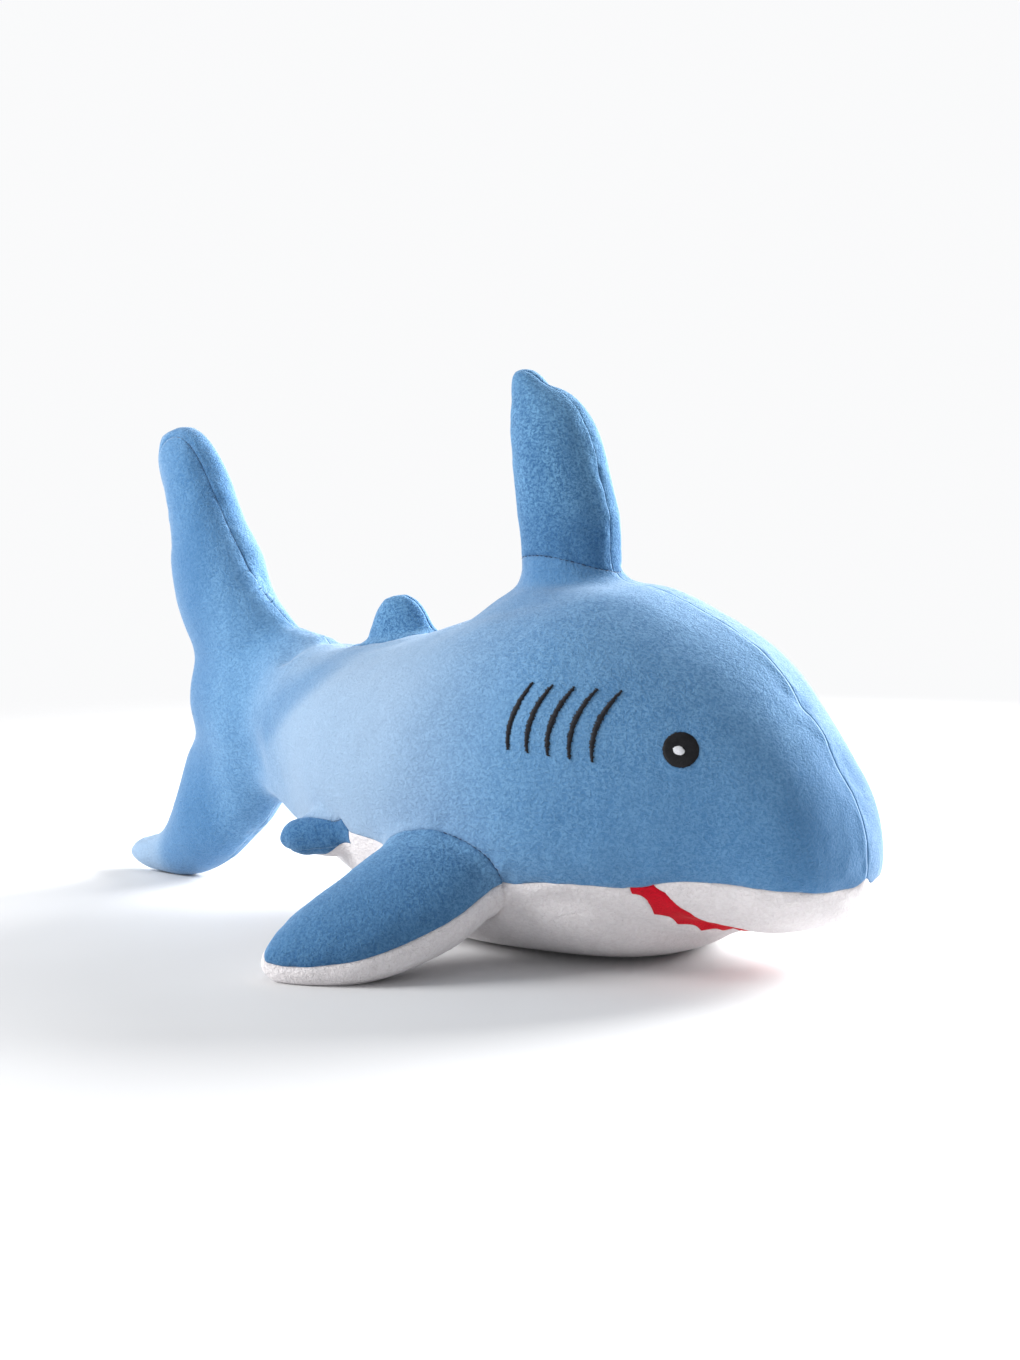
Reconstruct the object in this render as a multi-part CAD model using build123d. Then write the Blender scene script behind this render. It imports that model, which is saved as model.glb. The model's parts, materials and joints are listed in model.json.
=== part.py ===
"""Stuffed plush shark, 500 mm long: its sewn panels, its stuffing and its embroidery.

Millimetres. +X runs from tail to nose, +Y to the shark's left, +Z up. The origin is on the ground, on the plane
of symmetry, halfway between the nose and the tail tip. The fins and the tail are sewn on along their roots and
flap there, so each has a round knuckle at its root that turns in a hollow of the body.
"""

from build123d import *
from math import cos, pi, radians, sin
import os

# ---- Fabric and fits
FABRIC = 2.6            # thickness of a sewn plush panel with its pile
FILL_GAP = 0.5          # between the back of a panel and the stuffing
SEAM_GAP = 0.4          # between two panels along a seam
KNUCKLE_GAP = 1.6       # clearance between a root knuckle and its hollow
THREAD = 1.0            # height of the embroidery above the fabric
THREAD_GAP = 0.1        # between the fabric and the embroidery
FAR = 400.0             # longer than the whole shark, for cutting blocks

# ---- Overall size
LENGTH = 500.0
NOSE_X = LENGTH / 2
TAIL_TIP_X = -LENGTH / 2
GROUND_Z = 0.0

# ---- Body
# Head and back: x, half width, height of the widest point, top, bottom
BACK_STATIONS = [
    (-150, 20, 101, 139, 66),
    (-112, 35, 100, 152, 50),
    (-82, 47, 95, 147, 40),
    (-45, 67, 88, 147, 27),
    (0, 87, 80, 154, 13),
    (45, 99, 76, 168, 10),
    (85, 102, 74, 179, 9),
    (125, 100, 73, 183, 10),
    (160, 88, 70, 172, 12),
    (192, 72, 66, 153, 13),
    (218, 58, 62, 126, 16),
    (236, 46, 58, 104, 21),
    (246, 31, 56, 83, 30),
    (NOSE_X, 15, 55, 64, 44),
]
# Belly and lower jaw: the same columns; the underside is flat where it rests on the ground
BELLY_STATIONS = [
    (-40, 20, 50, 62, 26),
    (-10, 60, 44, 72, 8),
    (30, 82, 42, 75, 0),
    (85, 91, 42, 76, -3),
    (125, 87, 42, 75, -2),
    (155, 77, 42, 70, 2),
    (174, 58, 42, 62, 10),
    (186, 34, 40, 52, 20),
]
# How square the sections are above and below their widest point (2 is an ellipse)
BACK_POWER = 2.15
BELLY_POWER = 2.3
RING_POINTS = 16
# Mound of the back that carries the dorsal fin: height, half length, half width
COLLAR_STATIONS = [(160, 44, 40), (176, 35, 30), (189, 29, 22)]
# Side seam between the blue panels and the white ones: x, z
SIDE_SEAM = [(270, 45), (214, 48), (190, 49), (172, 46), (111, 43), (75, 48), (39, 55), (4, 57), (-22, 52), (-50, 42),
             (-80, 34), (-120, 30)]
# Mouth: middle line in plan, from the corner on the side seam to the midline
MOUTH_LINE = [(158, 95), (177, 72), (192, 55), (202, 35), (207, 0)]
MOUTH_WIDTH = 9.0

# ---- Fins. Root: middle of the root seam. Chord: direction of the seam. Out: direction of the fin's reach.
# Each station is distance outward, shift along the chord, half chord, half thickness.
DORSAL_ROOT, DORSAL_CHORD, DORSAL_OUT = (84, 0, 190), (1, 0, 0), (0, 0, 1)
DORSAL_STATIONS = [
    (-12, 1, 29, 22), (0, 0, 28.5, 23), (23, -2, 28, 22.5), (54, -7, 26.5, 21), (72, -11, 24, 18.5),
    (85, -16, 19, 14.5), (94, -23, 13, 10.5), (99, -28, 8.5, 7.5), (102, -30, 4, 3.5),
]
REAR_ROOT, REAR_CHORD, REAR_OUT = (-30, 0, 148), (1, 0, 0.1), (0, 0, 1)
REAR_STATIONS = [(-6, 0, 25, 11), (4, 1, 23, 11), (14, 1, 18, 10), (22, 1, 12, 7.5), (26, 1, 5, 3.5)]
PECTORAL_ROOT, PECTORAL_CHORD, PECTORAL_OUT = (74, 93, 44), (1, 0, -0.16), (0, 0.87, -0.48)
PECTORAL_STATIONS = [
    (-12, 2, 33, 22), (8, 0, 36, 24), (30, -4, 35, 22), (52, -11, 32, 19), (68, -18, 27, 15.5),
    (80, -25, 19, 11), (87, -30, 11, 7), (90, -32, 5, 4),
]
PELVIC_ROOT, PELVIC_CHORD, PELVIC_OUT = (-12, 72, 54), (1, 0.4, 0), (-0.2, 0.9, -0.2)
PELVIC_STATIONS = [(-6, 2, 16, 12), (3, 0, 17, 12.5), (10, -4, 16, 11.5), (17, -8, 12, 9), (22, -11, 8, 6),
                   (25, -13, 3, 2.5)]
FIN_FLAP = 30.0         # degrees a fin flaps either way on its root seam

# ---- Tail
TAIL_PIVOT = (-112, 0, 101)
TAIL_BEND = 25.0
TAIL_KNUCKLE_R = 29.0
BODY_END_X = TAIL_PIVOT[0] + 12     # the body's fabric stops here, ahead of the tail's pivot
# Root of the tail: x, height of its middle, half height, half width
TAIL_WEB = [(-85, 101, 50, 31), (-112, 102, 50, 29), (-136, 104, 48, 28), (-165, 108, 38, 23), (-186, 118, 20, 15)]
UPPER_LOBE_ROOT, UPPER_LOBE_TIP = (-140, 0, 118), (-200, 0, 264)
UPPER_LOBE_STATIONS = [
    (-15, 0, 34, 19), (25, 1, 38, 22), (60, -1, 36, 23), (95, -2, 29, 21), (130, -1, 22.5, 17),
    (150, -2, 19, 13), (160, -3, 14, 9), (165, -4, 7, 4),
]
LOWER_LOBE_ROOT, LOWER_LOBE_TIP = (-140, 0, 84), (-232, 0, 6)
LOWER_LOBE_STATIONS = [
    (-15, 0, 36, 19), (18, -1, 39, 22), (54, -7, 34, 22), (74, -11, 25, 20), (92, -11, 17.5, 15),
    (114, 1, 11, 10), (125, 8, 7, 7), (131, 12, 3.5, 3),
]

# ---- Face embroidery on the left side; the right side is its mirror image
EYE_CENTRE, EYE_FACING = (189, 61, 110), (0.52, 0.76, 0.40)
EYE_R = 8.0
GLINT_CENTRE = (190, 61, 109)
GLINT_R = 2.6
GILLS = 5
GILL_FIRST_X, GILL_PITCH = 117.0, 10.0
GILL_TOP_Z, GILL_TOP_STEP = 139.3, -0.7
GILL_BOTTOM_Z, GILL_BOTTOM_STEP = 106.0, -1.0
GILL_BOW = 2.5
GILL_WIDTH = 2.6


def box_between(low, high):
    """Box from its lowest to its highest corner."""
    size = [b - a for a, b in zip(low, high)]
    middle = [(a + b) / 2 for a, b in zip(low, high)]
    return Pos(*middle) * Box(*size)


def rod(plane, radius, length):
    """Cylinder along a plane's x direction, centred on its origin."""
    return Plane(origin=plane.origin, z_dir=plane.x_dir) * Cylinder(radius, length)


def biggest(shape):
    """The largest solid of a cut, without its slivers."""
    return max(shape.solids(), key=lambda solid: solid.volume)


def mirrored(solid):
    """The same piece on the right side."""
    return mirror(solid, about=Plane.XZ)


def save(solid, name):
    """Writes one piece to its own STEP file."""
    export_step(solid, f"parts/{name}.step")


def ring(x, half_width, z_mid, up, down):
    """Closed section across the body: a rounded arch above z_mid and a flatter bowl below it."""
    points = []
    for i in range(RING_POINTS):
        angle = 2 * pi * i / RING_POINTS
        c, s = cos(angle), sin(angle)
        power, reach = (BACK_POWER, up) if s >= 0 else (BELLY_POWER, down)
        y = half_width * abs(c) ** (2 / power) * (1 if c >= 0 else -1)
        z = reach * abs(s) ** (2 / power) * (1 if s >= 0 else -1)
        points.append(Vector(x, y, z_mid + z))
    return Wire([Edge.make_spline(points, periodic=True)])


def lofted(stations, inset):
    """Solid through sections of the body, each drawn in by inset."""
    rings = []
    first_x, last_x = stations[0][0], stations[-1][0]
    for x, half_width, z_mid, top, bottom in stations:
        pull = inset * ((x == first_x) - (x == last_x))
        shrink = min(inset, half_width / 2, (top - z_mid) / 2)
        rings.append(ring(x + pull, half_width - shrink, z_mid, top - z_mid - shrink, z_mid - bottom - shrink))
    return Solid.make_loft(rings)


def collar(inset):
    """Mound of the back under the dorsal fin."""
    rings = []
    for z, half_length, half_width in COLLAR_STATIONS:
        place = Pos(DORSAL_ROOT[0], 0, z - inset)
        rings.append((place * Ellipse(half_length - inset, half_width - inset)).face().outer_wire())
    return Solid.make_loft(rings)


def body_form(inset):
    """Head, back and belly as one closed form, drawn in by inset, as far as the tail's root."""
    form = lofted(BACK_STATIONS, inset) + lofted(BELLY_STATIONS, inset) + collar(inset)
    return form & box_between((BODY_END_X, -FAR, GROUND_Z + inset), (FAR, FAR, FAR))


def fin_plane(root, chord, outward):
    """Plane at a fin's root seam: x runs along the seam, and the normal points outward."""
    along = Vector(*chord).normalized()
    away = Vector(*outward)
    away = away - along * away.dot(along)
    return Plane(origin=root, x_dir=along, z_dir=away)


def fin_form(plane, stations, inset):
    """Stuffed fin: ellipses across its reach, drawn in by inset."""
    rings = []
    for distance, shift, half_chord, half_thickness in stations:
        shrink = min(inset, half_thickness / 2)
        pull = inset if distance == stations[-1][0] else 0
        place = plane * Pos(shift, 0, distance - pull)
        rings.append((place * Ellipse(half_chord - shrink, half_thickness - shrink)).face().outer_wire())
    return Solid.make_loft(rings)


def tail_form(inset):
    """Root of the tail with its upper and lower lobes."""
    rings = []
    for x, z_mid, half_height, half_width in TAIL_WEB:
        pull = inset if x == TAIL_WEB[-1][0] else 0
        place = Plane(origin=(x + pull, 0, z_mid), x_dir=(0, 1, 0), z_dir=(1, 0, 0))
        rings.append((place * Ellipse(half_width - inset, half_height - inset)).face().outer_wire())
    form = Solid.make_loft(rings)
    for root, tip, stations in (
        (UPPER_LOBE_ROOT, UPPER_LOBE_TIP, UPPER_LOBE_STATIONS),
        (LOWER_LOBE_ROOT, LOWER_LOBE_TIP, LOWER_LOBE_STATIONS),
    ):
        reach = Vector(*tip) - Vector(*root)
        across = Vector(0, 1, 0).cross(reach)
        form = form + fin_form(fin_plane(root, across, reach), stations, inset)
    return form & box_between((TAIL_TIP_X + inset, -FAR, GROUND_Z + inset), (FAR, FAR, FAR))


class Limb:
    """A fin or the tail: two panels and stuffing, on a knuckle that turns in a hollow of the body."""

    def __init__(self, plane, form, knuckle_radius, root_length, turn):
        self.plane = plane
        self.form = form
        self.knuckle_radius = knuckle_radius
        self.root_length = root_length
        self.turn = turn

    def shape(self, inset):
        """The form beyond its pivot, with a round knuckle about the pivot."""
        form = self.form(inset)
        beyond = self.plane * Pos(0, 0, FAR / 2) * Box(FAR, FAR, FAR)
        return (form & beyond) + (form & rod(self.plane, self.knuckle_radius - inset, FAR))

    def hollow(self):
        """Room in the body for the knuckle at every angle of its turn."""
        radius = self.knuckle_radius / cos(radians(self.turn)) + KNUCKLE_GAP
        return rod(self.plane, radius, self.root_length + 2 * KNUCKLE_GAP)

    def pieces(self):
        """The panel on the plane's +y side, the other panel, and the stuffing."""
        inner = self.shape(FABRIC)
        skin = self.shape(0) - inner
        panels = []
        for side in (1, -1):
            half = self.plane * Pos(0, side * (FAR + SEAM_GAP) / 2, 0) * Box(2 * FAR, FAR, 2 * FAR)
            panels.append(biggest(skin & half))
        return panels[0], panels[1], biggest(self.shape(FABRIC + FILL_GAP) & inner)


def fin(root, chord, outward, stations):
    """Limb for one fin, whose knuckle is as thick as the fin is near its root."""
    plane = fin_plane(root, chord, outward)
    near_root = stations[:2]
    thickness = max(half_thickness for distance, shift, half_chord, half_thickness in near_root)
    reach = max(abs(shift) + half_chord for distance, shift, half_chord, half_thickness in near_root)
    return Limb(plane, lambda inset: fin_form(plane, stations, inset), thickness, 2 * reach, FIN_FLAP)


def tail():
    """Limb for the tail, which bends sideways about an upright axis."""
    plane = Plane(origin=TAIL_PIVOT, x_dir=(0, 0, 1), z_dir=(-1, 0, 0))
    return Limb(plane, tail_form, TAIL_KNUCKLE_R, FAR, TAIL_BEND)


def above_side_seam(lift):
    """Everything above the side seam, with the seam lifted."""
    points = [(x, z + lift) for x, z in SIDE_SEAM]
    seam = Spline(*points)
    (front_x, front_z), (back_x, back_z) = points[0], points[-1]
    roof = Polyline((back_x, back_z), (back_x, FAR), (front_x, FAR), (front_x, front_z))
    return extrude(Plane.XZ * make_face(seam + roof), FAR, both=True)


def ahead_of_mouth(forward):
    """Everything in front of the mouth's middle line, with that line moved forward."""
    left = [(x + forward, y) for x, y in MOUTH_LINE]
    right = [(x, -y) for x, y in reversed(left[:-1])]
    line = Spline(*left, *right)
    (x, y) = left[0]
    front = Polyline((x, -y), (FAR, -y), (FAR, y), (x, y))
    return extrude(make_face(line + front), FAR, both=True)


def body_pieces(hollows):
    """Panels, mouth lining and stuffing of the head and body, by name."""
    room = hollows[0]
    for hollow in hollows[1:]:
        room = room + hollow
    skin = body_form(0) - body_form(FABRIC) - room
    blue = skin & above_side_seam(SEAM_GAP / 2)
    white = skin - above_side_seam(-SEAM_GAP / 2)
    band = MOUTH_WIDTH / 2
    pieces = {
        "snout_panel": white & ahead_of_mouth(band + SEAM_GAP),
        "mouth_lining": (white & ahead_of_mouth(-band)) - ahead_of_mouth(band),
        "belly_panel": white - ahead_of_mouth(-band - SEAM_GAP),
        "torso_stuffing": body_form(FABRIC + FILL_GAP) - room,
    }
    for side, name in ((1, "left_side_panel"), (-1, "right_side_panel")):
        half = Pos(0, side * (FAR + SEAM_GAP) / 2, 0) * Box(2 * FAR, FAR, 2 * FAR)
        pieces[name] = blue & half
    return {name: biggest(shape) for name, shape in pieces.items()}


def disc_on_head(centre, radius, low, high):
    """Round patch that lies on the side of the head, between two heights above the fabric."""
    bar = Plane(origin=centre, z_dir=EYE_FACING) * Cylinder(radius, 4 * radius)
    return biggest((body_form(-high) - body_form(-low)) & bar)


def gill(index):
    """Prism through one gill slit: a thin crescent that bows backwards."""
    x = GILL_FIRST_X + index * GILL_PITCH
    top = GILL_TOP_Z + index * GILL_TOP_STEP
    bottom = GILL_BOTTOM_Z + index * GILL_BOTTOM_STEP
    middle = (top + bottom) / 2
    rear = ThreePointArc((x, top), (x - GILL_BOW - GILL_WIDTH / 2, middle), (x, bottom))
    front = ThreePointArc((x, bottom), (x - GILL_BOW + GILL_WIDTH / 2, middle), (x, top))
    return extrude(Plane.XZ * make_face(rear + front), -FAR / 2)


def gill_stitches():
    """The satin-stitched gill slits of the left side, as separate solids."""
    layer = body_form(-THREAD) - body_form(-THREAD_GAP)
    slits = [biggest(layer & gill(index)) for index in range(GILLS)]
    return Compound(children=slits)


os.makedirs("parts", exist_ok=True)

dorsal = fin(DORSAL_ROOT, DORSAL_CHORD, DORSAL_OUT, DORSAL_STATIONS)
rear_dorsal = fin(REAR_ROOT, REAR_CHORD, REAR_OUT, REAR_STATIONS)
pectoral = fin(PECTORAL_ROOT, PECTORAL_CHORD, PECTORAL_OUT, PECTORAL_STATIONS)
pelvic = fin(PELVIC_ROOT, PELVIC_CHORD, PELVIC_OUT, PELVIC_STATIONS)
tail_fin = tail()

paired_hollows = [pectoral.hollow(), pelvic.hollow()]
hollows = [dorsal.hollow(), rear_dorsal.hollow(), tail_fin.hollow(), *paired_hollows]
hollows += [mirrored(hollow) for hollow in paired_hollows]
for name, piece in body_pieces(hollows).items():
    save(piece, name)

for limb, name in ((dorsal, "dorsal_fin"), (rear_dorsal, "rear_dorsal_fin"), (tail_fin, "tail")):
    for piece, suffix in zip(limb.pieces(), ("left_panel", "right_panel", "stuffing")):
        save(piece, f"{name}_{suffix}")

for limb, name in ((pectoral, "pectoral_fin"), (pelvic, "pelvic_fin")):
    for piece, suffix in zip(limb.pieces(), ("bottom_panel", "top_panel", "stuffing")):
        save(piece, f"left_{name}_{suffix}")
        save(mirrored(piece), f"right_{name}_{suffix}")

embroidery = {
    "eye": disc_on_head(EYE_CENTRE, EYE_R, THREAD_GAP, THREAD),
    "eye_glint": disc_on_head(GLINT_CENTRE, GLINT_R, THREAD + THREAD_GAP, 1.5 * THREAD),
    "gill_stitches": gill_stitches(),
}
for name, piece in embroidery.items():
    save(piece, f"left_{name}")
    save(mirrored(piece), f"right_{name}")
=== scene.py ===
"""Looks of the stuffed plush shark: sewn skins, embroidery, seam threads and filling.

Lengths in the geometry code are in millimetres, in the frame of the CAD model: +X to the nose,
+Y to the shark's left, +Z up. Meshes are scaled to metres when they become objects. The zones of
the materials and the stage are in metres.
"""

import json
from math import cos, pi, sin

import bmesh
import bpy
import numpy as np
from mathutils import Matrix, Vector, noise
from mathutils.bvhtree import BVHTree
from mathutils.kdtree import KDTree

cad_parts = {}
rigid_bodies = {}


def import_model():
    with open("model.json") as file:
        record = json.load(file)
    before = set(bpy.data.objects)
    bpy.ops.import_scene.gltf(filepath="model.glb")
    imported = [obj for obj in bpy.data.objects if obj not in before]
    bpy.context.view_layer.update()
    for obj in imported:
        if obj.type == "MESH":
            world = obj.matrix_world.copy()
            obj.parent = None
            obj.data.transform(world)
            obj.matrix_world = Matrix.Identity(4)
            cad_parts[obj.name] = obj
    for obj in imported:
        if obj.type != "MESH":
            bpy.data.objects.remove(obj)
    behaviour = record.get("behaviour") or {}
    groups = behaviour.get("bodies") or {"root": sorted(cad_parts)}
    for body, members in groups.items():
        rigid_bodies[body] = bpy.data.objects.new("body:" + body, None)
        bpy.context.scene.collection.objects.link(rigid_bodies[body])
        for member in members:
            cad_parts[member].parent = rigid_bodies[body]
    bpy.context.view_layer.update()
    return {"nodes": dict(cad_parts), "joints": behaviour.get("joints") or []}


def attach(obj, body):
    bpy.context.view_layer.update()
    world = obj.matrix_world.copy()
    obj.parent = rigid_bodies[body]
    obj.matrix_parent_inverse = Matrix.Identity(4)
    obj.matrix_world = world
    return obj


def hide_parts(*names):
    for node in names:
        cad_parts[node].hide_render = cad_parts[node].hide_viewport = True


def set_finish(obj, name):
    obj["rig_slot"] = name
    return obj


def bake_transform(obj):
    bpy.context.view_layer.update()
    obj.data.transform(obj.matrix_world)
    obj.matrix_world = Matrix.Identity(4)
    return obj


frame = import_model()

MM = 0.001
SIDES = (("left", 1), ("right", -1))
VOXEL = 2.6             # first mesh of the whole form

# Seam between the blue sides and the white underside: x, z
SIDE_SEAM = [(-120, 30), (-80, 34), (-50, 42), (-22, 52), (4, 57), (39, 55), (75, 48), (111, 43),
             (140, 46), (157, 46), (171, 45.6), (178, 46.3), (191, 49.3), (207, 49.4), (221, 47.6),
             (235, 46.2), (270, 45.6)]
NOSE_POINT = 3.5                # how far that seam rises in the middle of the nose
# Mouth edges in plan, from the midline to the corner: distance from the midline, x
JAW_EDGE = [(0, 203), (20, 201.5), (36, 197), (44, 192.8), (55, 186.4), (66, 180.6), (77, 175.0),
            (95, 166)]
LIP_EDGE = [(0, 216), (30, 213), (43.3, 207.4), (48.3, 202.0), (53, 197.7), (58, 194.0),
            (67, 188.4), (72, 183.8), (76, 180.4), (95, 172)]
MOUTH_SLOPE = 0.53              # forward per unit inward, along the mouth
JAW_SCALLOP, LIP_SCALLOP, SCALLOP_PITCH, SCALLOP_START = 3.4, 1.0, 12.4, 1.1


# ---- small tools
def unit(v):
    v = np.asarray(v, float)
    return v / np.linalg.norm(v)


def unit_rows(v):
    """Every row at length 1."""
    return v / np.maximum(np.linalg.norm(v, axis=1), 1e-9)[:, None]


def bell(distance, width):
    """1 at no distance, falling smoothly to 0 over the width."""
    return np.exp(-(distance / width) ** 2)


def rising(value, start, length):
    """0 up to start, then growing to 1 over the length."""
    return np.clip((value - start) / length, 0, 1)


def falling(value, end, length):
    """0 from the end on, and 1 the length before it."""
    return np.clip((end - value) / length, 0, 1)


def joined(parts):
    """Several point and face arrays as one."""
    points, faces, start = [], [], 0
    for p, f in parts:
        points.append(p)
        faces.append(f + start)
        start += len(p)
    return np.concatenate(points), np.concatenate(faces)


def curve_through(pairs):
    """Smooth function through (input, value) pairs."""
    xs = np.array([p[0] for p in pairs], float)
    ys = np.array([p[1] for p in pairs], float)
    slopes = np.gradient(ys, xs)

    def value(x):
        x = np.clip(np.asarray(x, float), xs[0], xs[-1])
        i = np.clip(np.searchsorted(xs, x) - 1, 0, len(xs) - 2)
        h = xs[i + 1] - xs[i]
        t = (x - xs[i]) / h
        a = (1 + 2 * t) * (1 - t) ** 2 * ys[i] + t * (1 - t) ** 2 * h * slopes[i]
        b = t * t * (3 - 2 * t) * ys[i + 1] + t * t * (t - 1) * h * slopes[i + 1]
        return a + b

    return value


def mesh_arrays(mesh):
    """Vertices in millimetres and polygons of a mesh of triangles only or quads only."""
    co = np.empty(len(mesh.vertices) * 3, np.float32)
    mesh.vertices.foreach_get("co", co)
    loops = np.empty(len(mesh.loops), np.int32)
    mesh.loops.foreach_get("vertex_index", loops)
    corners = len(mesh.loops) // len(mesh.polygons)
    return co.reshape(-1, 3).astype(float) / MM, loops.reshape(-1, corners)


def new_object(name, points, faces, smooth=True):
    """Object from points in millimetres and faces."""
    mesh = bpy.data.meshes.new(name)
    mesh.from_pydata((np.asarray(points) * MM).tolist(), [], np.asarray(faces).tolist())
    mesh.update()
    if smooth:
        mesh.shade_smooth()
    obj = bpy.data.objects.new(name, mesh)
    bpy.context.scene.collection.objects.link(obj)
    return obj


def applied(obj):
    """The object's mesh with its modifiers, as a new mesh; the object goes."""
    depsgraph = bpy.context.evaluated_depsgraph_get()
    mesh = bpy.data.meshes.new_from_object(obj.evaluated_get(depsgraph))
    bpy.data.objects.remove(obj)
    return mesh


def remeshed(points, faces, voxel):
    """One closed quad mesh around everything given."""
    obj = new_object("remesh_work", points, faces)
    modifier = obj.modifiers.new("voxels", "REMESH")
    modifier.mode = "VOXEL"
    modifier.voxel_size = voxel * MM
    return mesh_arrays(applied(obj))


def sides_of(faces):
    """The sides of all faces in turn, as vertex pairs."""
    corners = faces.shape[1]
    return np.concatenate([faces[:, [i, (i + 1) % corners]] for i in range(corners)])


def edges_of(faces):
    """Every edge once, as sorted vertex pairs."""
    return np.unique(np.sort(sides_of(faces), axis=1), axis=0)


SMOOTH_STEP, PUSH_BACK = 0.5, -0.53


def smoothed(points, faces, rounds, weight=None, keep_size=True):
    """Laplacian smoothing; with keep_size every other step pushes back, so that the form doesn't
    shrink."""
    edges = edges_of(faces)
    ends = np.concatenate([edges[:, 0], edges[:, 1]])
    others = np.concatenate([edges[:, 1], edges[:, 0]])
    count = np.bincount(ends, minlength=len(points))[:, None].clip(1)
    points = points.copy()
    weight = 1.0 if weight is None else weight[:, None]
    for step in range(rounds):
        sums = [np.bincount(ends, points[others, k], len(points)) for k in range(3)]
        mean = np.stack(sums, 1) / count
        factor = PUSH_BACK if keep_size and step % 2 else SMOOTH_STEP
        points += weight * factor * (mean - points)
    return points


def normals_of(points, faces):
    """Vertex normals, weighted by face area."""
    a, b, c = (points[faces[:, k]] for k in range(3))
    n = np.cross(b - a, c - a)
    if faces.shape[1] == 4:
        n = n + np.cross(c - a, points[faces[:, 3]] - a)
    total = np.zeros_like(points)
    for k in range(3):
        total[:, k] = sum(np.bincount(corner, n[:, k], len(points)) for corner in faces.T)
    return unit_rows(total)


def triangles_of(quads, points):
    """Quads split along their shorter diagonal."""
    a, b, c, d = (points[quads[:, k]] for k in range(4))
    short = (np.linalg.norm(a - c, axis=1) <= np.linalg.norm(b - d, axis=1))[:, None]
    first = np.where(short, quads[:, [0, 1, 2]], quads[:, [0, 1, 3]])
    second = np.where(short, quads[:, [0, 2, 3]], quads[:, [1, 2, 3]])
    return np.concatenate([first, second])


def fractal(points, scale, seed, octaves=2):
    """Smooth noise about zero at each point; scale is the size of one bump in millimetres."""
    shift = Vector((seed * 17.3, seed * 7.1, seed * 3.7))
    places = (Vector(p) / scale + shift for p in points.tolist())
    return np.array([noise.fractal(place, 1.0, 2.0, octaves) for place in places])


# ---- limbs
def pivot(joint):
    """Where a joint turns."""
    return np.array(next(j for j in frame["joints"] if j["name"] == joint)["pos_m"]) / MM


class Limb:
    """Where a fin is sewn on: its root, its directions and the size of its root."""

    def __init__(self, joint, chord, outward, half_chord, half_thick, upper=1):
        self.root = pivot(joint)
        self.chord = unit(chord)
        outward = np.asarray(outward, float)
        self.out = unit(outward - self.chord * (outward @ self.chord))
        self.thick = np.cross(self.chord, self.out) * upper
        self.half_chord, self.half_thick = half_chord, half_thick

    def local(self, points):
        """Along the chord, across the thickness and outward from the root."""
        rel = points - self.root
        return rel @ self.chord, rel @ self.thick, rel @ self.out


def limb_table():
    """Every fin by its body's name."""
    limbs = {
        "dorsal_fin": Limb("dorsal_sway", (1, 0, 0), (0, 0, 1), 29, 23),
        "rear_dorsal_fin": Limb("rear_dorsal_sway", (1, 0, 0.1), (0, 0, 1), 25, 11),
    }
    for side, sign in SIDES:
        limbs[f"{side}_pectoral_fin"] = Limb(
            f"{side}_pectoral_flap", (1, 0, -0.16), (0, 0.87 * sign, -0.48), 36, 24, upper=sign)
        limbs[f"{side}_pelvic_fin"] = Limb(
            f"{side}_pelvic_flap", (1, 0.4 * sign, 0), (-0.2, 0.9 * sign, -0.2), 18, 12.5,
            upper=sign)
    return limbs


LIMBS = limb_table()
RING_START = 10.0


def root_field(name, points):
    """Distance beyond the seam that sews a fin to the body: positive on the fin."""
    limb = LIMBS[name]
    u, v, d = limb.local(points)
    if name == "dorsal_fin":
        along = u / limb.half_chord
        seam = 6.5 - 2.5 * along - 5.0 * along ** 2
    elif name == "rear_dorsal_fin":
        seam = 1.5 + 0.04 * u
    elif "pectoral" in name:
        seam = 0.5 - 0.13 * v - 0.10 * np.minimum(u, 0)
    else:
        seam = 8.0 - 0.30 * u + (0.4 + 0.03 * np.maximum(u, 0)) * np.maximum(-v, 0)
        seam = seam + 0.35 * np.maximum(v - 3, 0)
    # The fin lies in a ring around its root, which widens outward and so keeps a swept-back tip
    margin = 3.5 if "pelvic" in name else 7.0
    widening, reach = (1.2, 200.0) if "pectoral" in name else (0.6, 30.0)
    margin = margin + widening * np.clip(d - RING_START, 0, reach)
    ring = np.hypot(u / (limb.half_chord + margin), v / (limb.half_thick + margin))
    return np.minimum(d - seam, (1 - ring) * limb.half_thick)


# ---- whole form
def gather(names):
    """Points and triangles of several CAD nodes together."""
    return joined(mesh_arrays(frame["nodes"][name].data) for name in names)


HULL_POINTS = 1500      # enough of the points for a hull


def hull_of(points):
    """Convex hull as points and triangles."""
    bm = bmesh.new()
    for p in points[:: max(1, len(points) // HULL_POINTS)]:
        bm.verts.new(p)
    result = bmesh.ops.convex_hull(bm, input=bm.verts)
    inside = result["geom_interior"] + result["geom_unused"]
    loose = {v for v in inside if isinstance(v, bmesh.types.BMVert)}
    bmesh.ops.delete(bm, geom=list(loose), context="VERTS")
    bmesh.ops.triangulate(bm, faces=bm.faces)
    bm.verts.index_update()
    corners = np.array([v.co for v in bm.verts])
    faces = np.array([[v.index for v in f.verts] for f in bm.faces])
    bm.free()
    return corners, faces


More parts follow.
